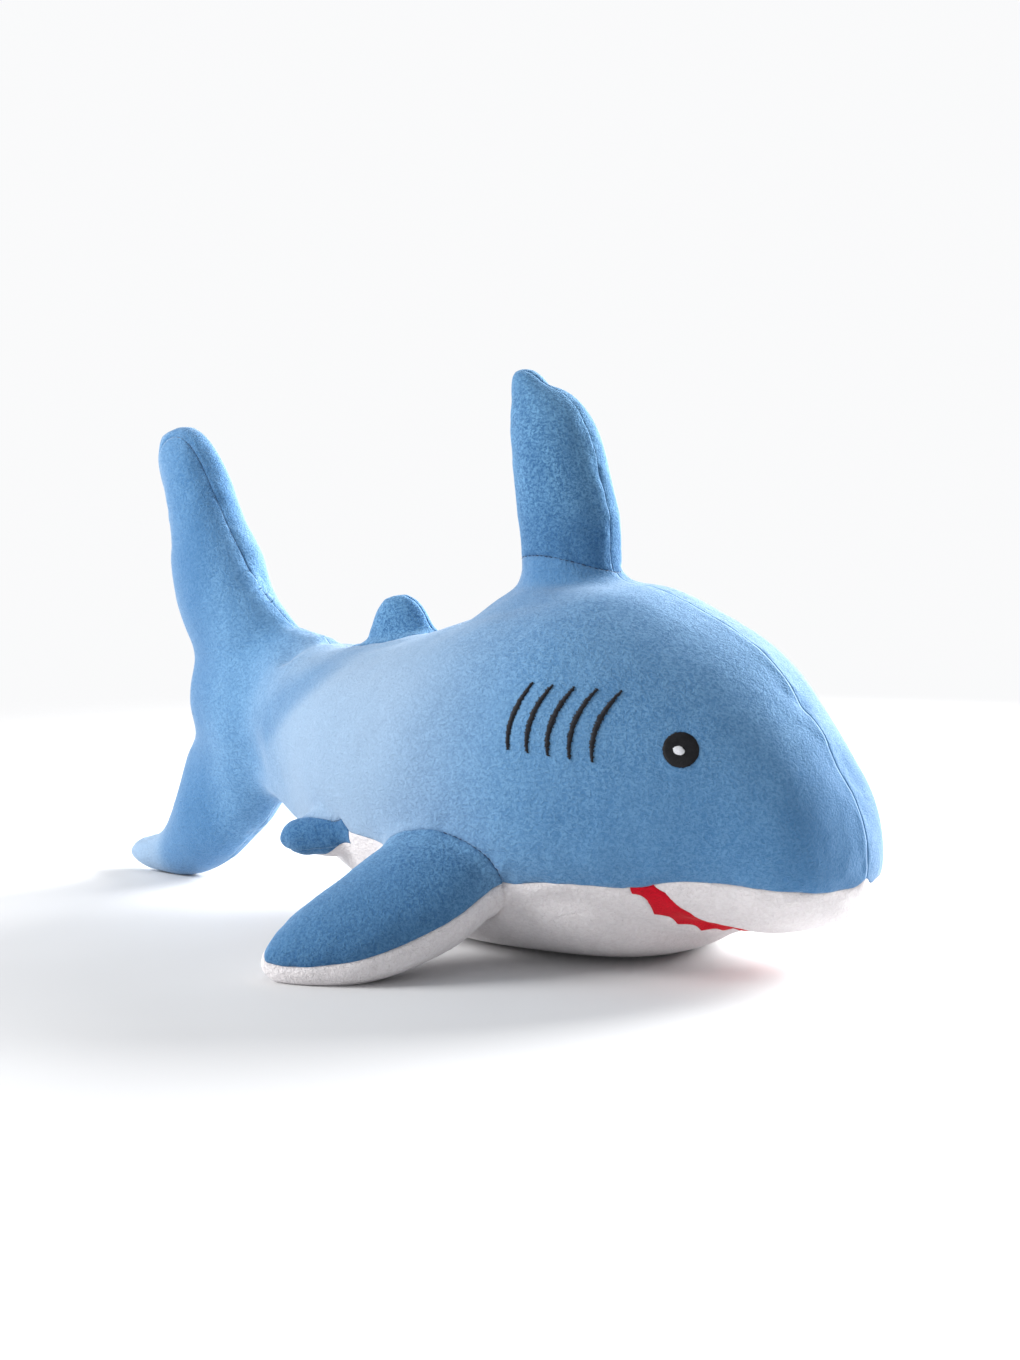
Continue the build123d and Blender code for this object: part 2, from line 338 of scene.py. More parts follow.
def root_fillers(body):
    """Closes the hollows that the CAD body has around each root."""
    fillers = []
    for limb in LIMBS.values():
        u, v, d = limb.local(body)
        reach = limb.half_chord + 12
        width = limb.half_thick * 1.2 + 7
        near = (abs(u) < reach) & (abs(v) < width + 8) & (d > -width) & (d < 20)
        fillers.append(hull_of(body[near]))
    tail, _ = gather(["tail_left_panel", "tail_right_panel"])
    pivot_x = pivot("tail_bend")[0]
    sleeve = body[body[:, 0] < pivot_x + 18]
    web = tail[(tail[:, 0] < pivot_x) & (tail[:, 0] > pivot_x - 10) & (abs(tail[:, 2] - 101) < 46)]
    fillers.append(hull_of(np.concatenate([sleeve, web])))
    return fillers


# How far the form is rounded at each fin's root, and the rounds of smoothing
FILLETS = {"dorsal_fin": (13, 40), "rear_dorsal_fin": (4, 8), "pectoral_fin": (11, 24),
           "pelvic_fin": (4, 8)}
# Where the body runs into the tail: place, radii, rounds of smoothing
SOFT_PLACES = [((-118, 0, 100), (26, 90, 120), 36), ((-182, 0, 112), (26, 60, 40), 40)]


def whole_form():
    """One smooth closed mesh of the shark, from the CAD panels and filling."""
    soft = [n for n in frame["nodes"] if "panel" in n or "stuffing" in n or "lining" in n]
    body, _ = gather(["left_side_panel", "right_side_panel", "belly_panel"])
    points, quads = remeshed(*joined([gather(soft)] + root_fillers(body)), VOXEL)
    points = smoothed(points, quads, 14)
    for name, limb in LIMBS.items():
        size, rounds = FILLETS[name.removeprefix("left_").removeprefix("right_")]
        near = bell(root_field(name, points), size)
        u, v, d = limb.local(points)
        near *= (abs(u) < limb.half_chord + 18) & (abs(v) < limb.half_thick + 16) & (abs(d) < 25)
        points = smoothed(points, quads, rounds, near, keep_size=False)
    for centre, radius, rounds in SOFT_PLACES:
        near = np.exp(-(((points - np.array(centre)) / np.array(radius)) ** 2).sum(1))
        points = smoothed(points, quads, rounds, near, keep_size=False)
    return points, quads


# ---- seams
side_seam = curve_through(SIDE_SEAM)
jaw_edge = curve_through(JAW_EDGE)
lip_edge = curve_through(LIP_EDGE)


def cusps(points, amplitude):
    """Scallops along the mouth: rounded between points that stand out."""
    along = (MOUTH_SLOPE * points[:, 0] - abs(points[:, 1])) / np.hypot(MOUTH_SLOPE, 1)
    return amplitude * (1 - abs(np.sin(pi * (along - SCALLOP_START) / SCALLOP_PITCH)))


def midline_field(points):
    """Left of the middle seam is positive. On the tail's upper lobe it lies a little to the right."""
    x, y, z = points.T
    return y + 9.0 * rising(z, 150, 40) * falling(x, -110, 25)


def side_field(points):
    """Above the seam between blue and white is positive. At the nose the seam rises to a point in
    the middle."""
    point = NOSE_POINT * rising(points[:, 0], 238, 8) * (bell(points[:, 1], 5.0) - 0.35)
    return points[:, 2] - side_seam(points[:, 0]) - point


def jaw_field(points):
    """In front of the jaw's edge is positive."""
    return points[:, 0] - jaw_edge(abs(points[:, 1])) + cusps(points, JAW_SCALLOP)


def lip_field(points):
    """In front of the lip's edge is positive."""
    return points[:, 0] - lip_edge(abs(points[:, 1])) - cusps(points, LIP_SCALLOP)


def fin_middle_field(name):
    """Upper or left side of a fin is positive."""
    def field(points):
        _, v, d = LIMBS[name].local(points)
        if "pectoral" in name:
            return v - 5.2 + 0.03 * d
        if "pelvic" in name:
            return v + 4.5
        return points[:, 1] + (3.0 if name == "dorsal_fin" else 0.0)
    return field


SNAP = 0.12             # a point this near to a seam counts as on it
# Behind these the underside is blue, and its middle has a seam
UNDER_TAIL_X, TAIL_SEAM_X = -78, -70


def cut(points, tris, field, where=None):
    """Splits triangles along the line where field is zero; where limits it to some of them."""
    value = field(points)
    value[abs(value) < SNAP] = 0.0
    sign = np.sign(value[tris])
    crossing = (sign.max(1) > 0) & (sign.min(1) < 0)
    if where is not None:
        crossing &= where(points[tris].mean(1))
    kept, work, s = tris[~crossing], tris[crossing], sign[crossing]
    alone = np.where((s > 0).sum(1) == 1, (s > 0).argmax(1), (s < 0).argmax(1))
    has_zero = (s == 0).any(1)
    # A triangle with a corner on the line turns so that this one comes first, another so that the
    # lone corner on its side of the line does
    first = np.where(has_zero, (s == 0).argmax(1), alone)
    row = np.arange(len(work))[:, None]
    work = work[row, (first[:, None] + np.arange(3)) % 3]
    a, b, c = work.T
    edge_keys, new_points = {}, []

    def between(i, j):
        key = (i, j) if i < j else (j, i)
        if key not in edge_keys:
            t = value[key[0]] / (value[key[0]] - value[key[1]])
            edge_keys[key] = len(points) + len(new_points)
            new_points.append(points[key[0]] * (1 - t) + points[key[1]] * t)
        return edge_keys[key]

    made = []
    for i, j, k, zero in zip(a.tolist(), b.tolist(), c.tolist(), has_zero.tolist()):
        if zero:
            m = between(j, k)
            made += [(i, j, m), (i, m, k)]
        else:
            m, n = between(i, j), between(i, k)
            made += [(i, m, n), (m, j, k), (m, k, n)]
    if not made:
        return points, tris
    return np.concatenate([points, new_points]), np.concatenate([kept, made])


def labels_of(points, tris):
    """Name of the skin that each triangle belongs to."""
    middle = points[tris].mean(1)
    label = np.full(len(tris), "right_body_skin", dtype=object)
    label[midline_field(middle) > 0] = "left_body_skin"
    white = (side_field(middle) < 0) & (middle[:, 0] >= UNDER_TAIL_X)
    label[white] = "belly_skin"
    label[white & (jaw_field(middle) > 0)] = "mouth_lining_felt"
    label[white & (lip_field(middle) > 0)] = "snout_skin"
    for name in LIMBS:
        on_fin = root_field(name, middle) > 0
        first = fin_middle_field(name)(middle) > 0
        ends = ("left", "right") if "dorsal" in name else ("top", "bottom")
        label[on_fin & first] = f"{name}_{ends[0]}_skin"
        label[on_fin & ~first] = f"{name}_{ends[1]}_skin"
    return label


def sewn_form(points, tris):
    """Cuts the form along every seam and returns it with a label per triangle."""
    for name in LIMBS:
        points, tris = cut(points, tris, lambda p, n=name: root_field(n, p))
    for name in LIMBS:
        points, tris = cut(points, tris, fin_middle_field(name),
                           lambda p, n=name: root_field(n, p) > 0)

    def on_body(p):
        return np.all([root_field(n, p) <= 0 for n in LIMBS], axis=0)

    points, tris = cut(points, tris, side_field, lambda p: on_body(p) & (p[:, 0] > -95))
    points, tris = cut(points, tris, jaw_field, lambda p: side_field(p) < 0)
    points, tris = cut(points, tris, lip_field, lambda p: side_field(p) < 0)
    points, tris = cut(points, tris, midline_field,
                       lambda p: on_body(p) & (side_field(p) > 0) | (p[:, 0] < TAIL_SEAM_X))
    return points, tris, labels_of(points, tris)


# ---- filling pressure
def seam_nearness(points, width):
    """1 on a seam, falling to 0 over the width, from the fields alone."""
    near = bell(midline_field(points), width) * (side_field(points) > 0)
    near = np.maximum(near, bell(side_field(points), width) * (points[:, 0] > TAIL_SEAM_X))
    for name in LIMBS:
        root = root_field(name, points)
        near = np.maximum(near, bell(root, width))
        near = np.maximum(near, bell(fin_middle_field(name)(points), width) * (root > 0))
    return near


# The fabric as a cloth: a firm plush, held at its seams, with no weight of its own
CLOTH = {
    "quality": 4, "mass": 0.25, "tension_stiffness": 12, "compression_stiffness": 12,
    "shear_stiffness": 4, "bending_stiffness": 4.0, "use_pressure": True,
    "uniform_pressure_force": 4, "shrink_min": 0.0, "vertex_group_mass": "seams",
}
PRESSURE_STEPS = 16
PUFF_CAP = 2.2          # how far the filling may push the fabric out
PUFF_ROUNDS = 30        # of smoothing, which takes the folds out
HOLD_WIDTH = 3.0        # how far beside a seam the fabric is still held
HOLD_LEVELS = 10


def puffed(points, quads):
    """Cloth simulation: the filling presses the skins out between seams that hold. Firm filling
    takes up the small folds, so that only the smoothed outward part is kept."""
    obj = new_object("cloth_work", points, quads)
    pins = obj.vertex_groups.new(name="seams")
    hold = seam_nearness(points, HOLD_WIDTH) * HOLD_LEVELS
    for level in range(1, HOLD_LEVELS + 1):
        chosen = np.nonzero((hold > level - 0.5) & (hold <= level + 0.5))[0]
        pins.add(chosen.tolist(), level / HOLD_LEVELS, "REPLACE")
    cloth = obj.modifiers.new("pressure", "CLOTH")
    for key, value in CLOTH.items():
        setattr(cloth.settings, key, value)
    cloth.settings.effector_weights.gravity = 0
    cloth.collision_settings.use_collision = False
    scene = bpy.context.scene
    cloth.point_cache.frame_start, cloth.point_cache.frame_end = 1, PRESSURE_STEPS
    for step in range(1, PRESSURE_STEPS + 1):
        scene.frame_set(step)
    moved, _ = mesh_arrays(applied(obj))
    scene.frame_set(1)
    normals = normals_of(points, quads)
    rise = ((moved - points) * normals).sum(1).clip(0, 2 * PUFF_CAP)
    rise = smoothed(rise[:, None] * np.ones(3), quads, PUFF_ROUNDS, keep_size=False)[:, :1]
    return points + normals * np.minimum(rise, PUFF_CAP)


def subdivided(points, quads):
    """One Catmull-Clark subdivision."""
    obj = new_object("subdivide_work", points, quads)
    modifier = obj.modifiers.new("finer", "SUBSURF")
    modifier.levels = modifier.render_levels = 1
    return mesh_arrays(applied(obj))


# ---- sewn relief
# Kind of seam: depth and width of its crease, depth of the wider pinch beside it
SEAM_RELIEF = {"root": (1.0, 1.5, 0.6), "edge": (0.8, 1.3, 0.5), "side": (0.7, 1.5, 0.5),
               "mouth": (0.5, 1.0, 0.0), "middle": (0.8, 1.3, 0.6)}
PINCH_WIDTH = 8.0
# Local dents: place, radius, depth. A negative depth is a bulge.
DENTS = [
    ((216, 0, 124), 7, 2.2), ((207, -6, 132), 5, 0.9), ((222, -5, 114), 6, 0.9),    # nose's seam
    ((240, 4, 99), 16, 3.2), ((216, 0, 18), 24, 2.6), ((234, 0, 28), 14, 2.0),      # brow, snout
    ((247, 0, 50), 30, -2.4), ((203, 0, 10), 18, 5.0),                              # snout, jaw
    ((69, 4, 284), 5.5, 4.0), ((58, 0, 289), 7, -1.0), ((112, 0, 215), 20, -2.5),   # dorsal fin
    ((-222, 0, 26), 6, 2.0), ((-232, -6, 22), 5, 1.5), ((-205, 0, 8), 20, -2.5),    # lower lobe
    ((-228, -8, 10), 14, -2.5), ((-140, 0, 24), 20, 6.0), ((-202, 0, 60), 24, 3.5),
    ((-150, 0, 215), 22, 4.5), ((-132, 0, 180), 20, 6.5), ((-128, 8, 184), 16, 3.0),    # upper lobe
    ((-196, 0, 136), 15, 3.0), ((-218, -2, 267), 7, -2.0), ((-106, 0, 150), 14, -3.0),
]
# The same on both sides: tail root twice, pelvic fins, snout, front of the jaw
for (x, y, z), radius, depth in [((-112, 34, 134), 20, 2.0), ((-112, 33, 82), 16, 2.5),
                                 ((-34, 84, 58), 15, -4.0), ((236, 16, 24), 18, 2.0),
                                 ((202, 24, 4), 17, 6.0)]:
    DENTS += [((x, -y, z), radius, depth), ((x, y, z), radius, depth)]
PECTORAL_FULLNESS = 3.2         # how much fuller the white side of a pectoral fin is
GROOVE_DEPTH, GROOVE_WIDTH = 5.0, 6.0   # of the open mouth
NOSE_RIDGE = 3.2
DEEPEST = 0.21                  # dents go in by no more than this part of the thickness
# Unevenness: height, width of a bump, seed
GATHERS, LUMPS = (0.75, 11.0, 1), [(1.4, 62.0, 2), (0.30, 17.0, 3)]
FAR = 30.0                      # from here on the distance to a seam doesn't matter
DEEP = 40.0                     # and from here on the thickness


def seam_kind(a, b):
    """Kind of seam between two skins."""
    both = {a, b}
    if "mouth_lining_felt" in both:
        return "mouth"
    if both == {"left_body_skin", "right_body_skin"}:
        return "middle"
    fin_a, fin_b = a.split("_fin_")[0], b.split("_fin_")[0]
    if "_fin_" in a and "_fin_" in b and fin_a == fin_b:
        return "edge"
    if "_fin_" in a or "_fin_" in b:
        return "root"
    return "side"


def seam_edges(tris, label):
    """Edges between differently labelled triangles, with the two labels."""
    pairs = sides_of(tris)
    owner = np.tile(np.arange(len(tris)), 3)
    pairs.sort(axis=1)
    order = np.lexsort((pairs[:, 1], pairs[:, 0]))
    pairs, owner = pairs[order], owner[order]
    twin = np.nonzero((pairs[1:] == pairs[:-1]).all(1))[0]
    one, two = label[owner[twin]], label[owner[twin + 1]]
    differs = one != two
    return pairs[twin[differs]], one[differs], two[differs]


def seam_distances(points, edges, kinds):
    """For each kind of seam, every point's distance to it."""
    result = {}
    steps = np.linspace(0, 1, 5)[None, :, None]
    for kind in SEAM_RELIEF:
        start, end = (points[corner][:, None] for corner in edges[kinds == kind].T)
        result[kind] = np.full(len(points), FAR)
        samples = (start * (1 - steps) + end * steps).reshape(-1, 3)
        tree = KDTree(len(samples))
        for i, p in enumerate(samples.tolist()):
            tree.insert(p, i)
        tree.balance()
        low, high = samples.min(0) - FAR, samples.max(0) + FAR
        close = np.nonzero(((points > low) & (points < high)).all(1))[0]
        for i in close.tolist():
            result[kind][i] = min(FAR, tree.find(points[i])[2])
    return result


def middle_strength(points):
    """How much the middle seam shows: clearly on the tail's upper lobe, softly on the nose, hardly
    on the back."""
    x, _, z = points.T
    on_lobe = rising(z, 160, 30) * (x < -110)
    on_nose = falling(z, 128, 10) * (x > 200)
    return 0.12 + 0.88 * on_lobe + 0.38 * on_nose


def nose_ridge(points):
    """Height of the keel in which the sides of the head meet."""
    x, y, z = points.T
    return NOSE_RIDGE * rising(x, 150, 50) * rising(z, 40, 12) * np.exp(-np.hypot(y, 2.5) / 9.0)


def dent_depth(points):
    """How deep the local dents and bulges go in at each point."""
    total = np.zeros(len(points))
    for place, radius, depth in DENTS:
        total += depth * bell(np.linalg.norm(points - np.array(place), axis=1), radius)
    return total


def depth_behind(points, tris, normals):
    """How thick the form is behind each point, up to DEEP."""
    tree = BVHTree.FromPolygons(points.tolist(), tris.tolist())
    just_inside = points - 0.3 * normals
    found = [tree.ray_cast(Vector(p), Vector(n), DEEP)[3] for p, n in zip(just_inside, -normals)]
    return np.array([DEEP if f is None else f for f in found])


def relieved(points, tris, label):
    """Creases along the seams, gathers beside them, dents and the uneven filling. Also how strong the
    painted shade in the crease is at each point, and the seams' edges with the skins on both their
    sides."""
    edges, one, two = seam_edges(tris, label)
    kinds = np.array([seam_kind(a, b) for a, b in zip(one, two)])
    distance = seam_distances(points, edges, kinds)
    normals = normals_of(points, tris)
    push = np.zeros(len(points))
    crease = np.zeros(len(points))
    nearest = np.min(list(distance.values()), axis=0)
    uneven = np.clip(0.8 + 1.1 * fractal(points, 16.0, 9), 0.25, 1.3)
    for kind, (depth, width, pinch) in SEAM_RELIEF.items():
        d = distance[kind]
        strength = uneven * (middle_strength(points) if kind == "middle" else 1.0)
        push -= strength * (depth * np.exp(-(d / width)) + pinch * bell(d, PINCH_WIDTH))
        # strength of the painted shade in each seam's crease
        crease = np.maximum(crease, strength * bell(d, 0.7 * width) * min(1, depth))
    beside = bell(nearest, 9.0) * (1 - bell(nearest, 2.0)) * (distance["mouth"] > 6)
    off_table = rising(points[:, 2], 3, 12)
    height, size, seed = GATHERS
    push += off_table * height * fractal(points, size, seed) * beside
    for height, size, seed in LUMPS:
        push += off_table * height * fractal(points, size, seed)
    push -= dent_depth(points)
    groove = (GROOVE_DEPTH - 0.5) * falling(abs(points[:, 1]), 62, 22) + 0.5
    ahead = 0.5 * (jaw_field(points) + lip_field(points))
    width = np.where(ahead > 0, 0.6, 1.0) * GROOVE_WIDTH    # steeper under the overhanging snout
    push -= groove * bell(ahead, width) * (side_field(points) < -2) * (points[:, 0] > 160)
    push += nose_ridge(points)
    for name in ("left_pectoral_fin", "right_pectoral_fin"):
        under = falling(fin_middle_field(name)(points), 0, 6)
        push += PECTORAL_FULLNESS * rising(root_field(name, points), 4, 20) * under
    push = np.maximum(push, -DEEPEST * depth_behind(points, tris, normals))
    points = points + push[:, None] * normals
    points[:, 2] = np.maximum(points[:, 2], 0.0)
    return points, crease, edges, one, two


# ---- skins
HEM = 4.0               # turned-in seam allowance
HEM_PART = 0.3          # most of the thickness that it takes up
HEM_ROWS = 2
HEM_SLOPE = 0.5


def skin(name, points, tris, normals, crease, behind, slot):
    """One sewn panel as its own object, its edges turned in as far as the thickness allows."""
    used, local = np.unique(tris, return_inverse=True)
    local = local.reshape(-1, 3)
    p, n = points[used], normals[used]
    hem = np.minimum(HEM, HEM_PART * behind[used])[:, None]
    pairs = sides_of(local)
    keys = np.sort(pairs, axis=1)
    _, index, count = np.unique(keys, axis=0, return_index=True, return_counts=True)
    rim = pairs[index[count == 1]]
    a, b = rim.T
    rim_points = np.unique(rim)
    inward = np.zeros_like(p)                   # from the rim into the panel
    for corner in (a, b):
        np.add.at(inward, corner, np.cross(n[a], p[b] - p[a]))
    inward = unit_rows(inward)
    all_p, all_f, last, start = [p], [local], np.arange(len(p)), len(p)
    for row in range(1, HEM_ROWS + 1):
        t = row / HEM_ROWS
        all_p.append((p - n * hem * t + inward * HEM_SLOPE * t)[rim_points])
        fresh = np.full(len(p), -1)
        fresh[rim_points] = start + np.arange(len(rim_points))
        all_f.append(np.stack([last[b], last[a], fresh[a]], 1))
        all_f.append(np.stack([last[b], fresh[a], fresh[b]], 1))
        last, start = fresh, start + len(rim_points)
    obj = new_object(name, np.concatenate(all_p), np.concatenate(all_f))
    # The seam attribute holds the strength of the painted shade: along the creases, and in full on
    # the turned-in hem
    seam = obj.data.attributes.new("seam", "FLOAT", "POINT")
    strength = np.concatenate([crease[used], np.ones(start - len(p))])
    seam.data.foreach_set("value", strength.astype(np.float32))
    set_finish(obj, slot)
    return obj


def blend_fin(obj):
    """Bakes a piece's place into its mesh; the piece is not bent between the torso and its fin."""
    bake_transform(obj)


def place_skin(obj):
    """Hides the CAD panels that a skin stands for; a skin of the torso alone rides the torso, the
    others keep their place.
    """
    name = obj.name
    if "body" in name:
        side = name.split("_")[0]
        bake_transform(obj)
        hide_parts(f"{side}_side_panel", f"tail_{side}_panel")
        return
    if "_fin_" in name:
        blend_fin(obj)
    else:
        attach(obj, "torso")
    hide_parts(name.replace("_skin", "_panel").replace("_felt", ""))


# ---- thread
def chains(edges):
    """Ordered runs of vertices along the edges."""
    neighbours = {}
    for a, b in edges.tolist():
        neighbours.setdefault(a, []).append(b)
        neighbours.setdefault(b, []).append(a)
    left = set(neighbours)
    runs = []
    while left:
        ends = [v for v in left if len(neighbours[v]) == 1]
        v = min(ends) if ends else min(left)
        run = [v]
        left.discard(v)
        while True:
            following = [w for w in neighbours[run[-1]] if w in left]
            if not following:
                break
            run.append(following[0])
            left.discard(following[0])
        closed = len(run) > 2 and run[0] in neighbours[run[-1]]
        runs.append(run + [run[0]] if closed else run)
    return runs


TUBE_SIDES = 6


def tube(path, normals, radius, flat=1.0):
    """Points and triangles of a tube along a path; flat squeezes it along the normals."""
    along = unit_rows(np.gradient(path, axis=0))
    across = unit_rows(np.cross(along, normals))
    up = np.cross(across, along)
    angles = [2 * pi * k / TUBE_SIDES for k in range(TUBE_SIDES)]
    rings = [path + radius * (cos(t) * across + flat * sin(t) * up) for t in angles]
    points = np.stack(rings, 1).reshape(-1, 3)
    faces = []
    for i in range(len(path) - 1):
        for k in range(TUBE_SIDES):
            a, b = i * TUBE_SIDES + k, i * TUBE_SIDES + (k + 1) % TUBE_SIDES
            faces += [(a, b, b + TUBE_SIDES), (a, b + TUBE_SIDES, a + TUBE_SIDES)]
    last = (len(path) - 1) * TUBE_SIDES
    for k in range(1, TUBE_SIDES - 1):
        faces += [(0, k + 1, k), (last, last + k, last + k + 1)]
    return points, np.array(faces)


def resampled(path, step):
    """The path with even spacing."""
    path = np.asarray(path, float)
    gaps = np.linalg.norm(np.diff(path, axis=0), axis=1)
    length = np.concatenate([[0], np.cumsum(gaps)])
    count = max(2, int(length[-1] / step))
    even = np.linspace(0, length[-1], count)
    return np.stack([np.interp(even, length, path[:, k]) for k in range(3)], 1)


def evened(path, rounds=6):
    """The path with its small steps smoothed out."""
    path = path.copy()
    for _ in range(rounds):
        path[1:-1] = path[1:-1] * 0.5 + (path[2:] + path[:-2]) * 0.25
    return path


class Surface:
    """Finds places on the finished outer surface, with the normals there."""

    def __init__(self, points, tris):
        self.tree = BVHTree.FromPolygons(points.tolist(), tris.tolist())
        self.points, self.tris, self.normals = points, tris, normals_of(points, tris)

    def along(self, start, direction):
        """Where a ray meets the surface."""
        return self.smooth(*self.tree.ray_cast(Vector(start), Vector(direction)))

    def nearest(self, points):
        """The nearest place to each point."""
        places, normals = zip(*(self.smooth(*self.tree.find_nearest(Vector(p))) for p in points))
        return np.array(places), np.array(normals)

    def smooth(self, place, _normal, index, _distance):
        """The place with a normal between those of its triangle's corners."""
        corners = self.tris[index]
        weight = 1 / (np.linalg.norm(self.points[corners] - np.array(place), axis=1) + 0.2)
        return np.array(place), unit((self.normals[corners] * weight[:, None]).sum(0))


def thread_object(name, parts, slot):
    """Thread that is sewn through the torso's skin, as one object."""
    obj = new_object(name, *joined(parts))
    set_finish(obj, slot)
    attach(obj, "torso")
    return obj


STITCH, STITCH_GAP, STITCH_R = 2.4, 1.2, 0.24
STITCH_LIFT, STITCH_SINK = 0.30, 0.25   # above the skin in a stitch's middle, below it at its ends
PATH_STEP = 0.5


def running_stitches(name, path, surface):
    """Dark thread along a seam, as separate stitches that dip in at their ends."""
    path = evened(resampled(path, PATH_STEP))
    rng = np.random.default_rng(5)
    per, rest = int(STITCH / PATH_STEP), int(STITCH_GAP / PATH_STEP)
    arch = np.sin(np.linspace(0, pi, per + 1)) ** 0.5
    parts = []
    for i in range(0, len(path) - per, per + rest):
        piece = path[i:i + per + 1]
        _, normals = surface.nearest(piece)
        wobble = rng.normal(0, 0.10, 3)
        lifted = piece + normals * (STITCH_LIFT * arch - STITCH_SINK)[:, None] + wobble
        parts.append(tube(lifted, normals, STITCH_R))
    return thread_object(name, parts, "gill_thread")


# ---- embroidery
THREAD_PITCH = 0.42
STRAND_R = 0.30
EYE_CENTRE, EYE_FACING = (189.0, 61.0, 108.0), (0.52, 0.76, 0.40)
EYE_R, EYE_HEIGHT = 8.3, 0.9
GLINT_R, GLINT_HEIGHT = 2.6, 1.65
GLINT_FORWARD, GLINT_DOWN = 0.9, 0.6
PAD_RINGS, PAD_SPOKES, PAD_DROP = 6, 40, 0.15   # the base under the strands, and how far below them
GILLS, GILL_FIRST_X, GILL_PITCH = 5, 117.0, 10.0
# Height of the first one's end, step to the next
GILL_TOP, GILL_BOTTOM = (138.3, -0.7), (108.0, -1.0)
GILL_SLANT, GILL_BOW, GILL_WIDTH = 5.0, 3.4, 2.3
GILL_HEIGHT, GILL_LEAN = 0.85, 0.18


def satin_strand(surface, start, end, height, rows):
    """One stitch from start to end that arches over the fabric."""
    places, normals = surface.nearest([start + (end - start) * t for t in np.linspace(0, 1, rows)])
    arch = np.sin(np.linspace(0.08, pi - 0.08, rows)) ** 0.6
    return tube(places + normals * (height * arch - 0.1)[:, None], normals, STRAND_R, 0.8)


def embroidered_disc(name, surface, centre, normal, radius, height, slot, seed, tilt):
    """Round satin-stitched patch: parallel strands from rim to rim, over a padded base."""
    rng = np.random.default_rng(seed)
    side = unit(np.cross((0, 0, 1.0), normal))
    up = np.cross(normal, side)
    side, up = side * cos(tilt) + up * sin(tilt), up * cos(tilt) - side * sin(tilt)
    parts = []
    for i in range(int(2 * radius / THREAD_PITCH) + 1):
        t = -radius + THREAD_PITCH * (i + 0.5)
        half = np.sqrt(max(radius ** 2 - t ** 2, 0.05))
        back, ahead = half + rng.normal(0, 0.13, 2)     # ragged ends
        middle, arch = centre + up * t, height * (0.7 + 0.3 * half / radius)
        parts.append(satin_strand(surface, middle - side * back, middle + side * ahead, arch,
                                  max(5, int(half * 1.6))))
    spots, lift = [centre], [height - PAD_DROP]
    for ring in range(1, PAD_RINGS + 1):
        for k in range(PAD_SPOKES):
            a = 2 * pi * k / PAD_SPOKES
            reach = radius * 0.97 * ring / PAD_RINGS
            spots.append(centre + side * reach * cos(a) + up * reach * sin(a))
            lift.append((height - PAD_DROP) * (1 - (ring / PAD_RINGS) ** 6) - 0.1)
    places, normals = surface.nearest(spots)
    faces = [(0, 1 + k, 1 + (k + 1) % PAD_SPOKES) for k in range(PAD_SPOKES)]
    for first in range(1, 1 + (PAD_RINGS - 1) * PAD_SPOKES, PAD_SPOKES):
        for k in range(PAD_SPOKES):
            a, b = first + k, first + (k + 1) % PAD_SPOKES
            faces += [(a, a + PAD_SPOKES, b + PAD_SPOKES), (a, b + PAD_SPOKES, b)]
    parts.append((places + normals * np.array(lift)[:, None], np.array(faces)))
    return thread_object(name, parts, slot)


def eyes(surface):
    """Embroidered eyes with a glint towards the nose."""
    for side, sign in SIDES:
        facing = unit(np.array(EYE_FACING) * (1, sign, 1))
        outside = np.array(EYE_CENTRE) * (1, sign, 1) + facing * 60
        centre, normal = surface.along(outside, -facing)
        eye = embroidered_disc(f"{side}_eye_patch", surface, centre, normal, EYE_R, EYE_HEIGHT,
                               "eye_thread", 11, 0.3)
        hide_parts(f"{side}_eye")
        forward = unit(np.cross((0, 0, 1.0), normal)) * sign
        glint_centre = centre + forward * GLINT_FORWARD - np.array((0, 0, GLINT_DOWN))
        glint = embroidered_disc(f"{side}_eye_glint_patch", surface, glint_centre, normal, GLINT_R,
                                 GLINT_HEIGHT, "glint_thread", 12, 1.2)
        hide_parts(f"{side}_eye_glint")


def gills(surface):
    """Five embroidered slits on each side, of short strands across."""
    rng = np.random.default_rng(21)
    for side, sign in SIDES:
        parts = []
        for index in range(GILLS):
            x = GILL_FIRST_X + index * GILL_PITCH
            top, bottom = (end + index * step for end, step in (GILL_TOP, GILL_BOTTOM))
            line = []
            for t in np.linspace(0, 1, 60):
                start = (x + GILL_SLANT * (1 - t) - GILL_BOW * 4 * t * (1 - t), sign * 200,
                         top + (bottom - top) * t)
                line.append(surface.along(start, (0, -sign, 0))[0])
            path = resampled(line, THREAD_PITCH)
            _, normals = surface.nearest(path)
            along = np.gradient(path, axis=0)
            for i, (p, n) in enumerate(zip(path, normals)):
                t = i / (len(path) - 1)
                half = 0.5 * GILL_WIDTH * (0.12 + 0.88 * sin(pi * (0.04 + 0.9 * t)) ** 0.8)
                across = unit(np.cross(n, along[i])) + GILL_LEAN * unit(along[i])
                a, b = rng.normal(0, 0.16, 2) + rng.choice([0, 0.45], 2, p=[0.85, 0.15])
                parts.append(satin_strand(surface, p - across * (half + a), p + across * (half + b),
                                          GILL_HEIGHT, 6))
        slits = thread_object(f"{side}_gill_threads", parts, "gill_thread")
        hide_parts(f"{side}_gill_stitches")


# ---- filling
INSET, INSET_PART = 7.0, 0.32   # how far the filling keeps inside: at most, part of its thickness
UNDER_FABRIC = 3.5


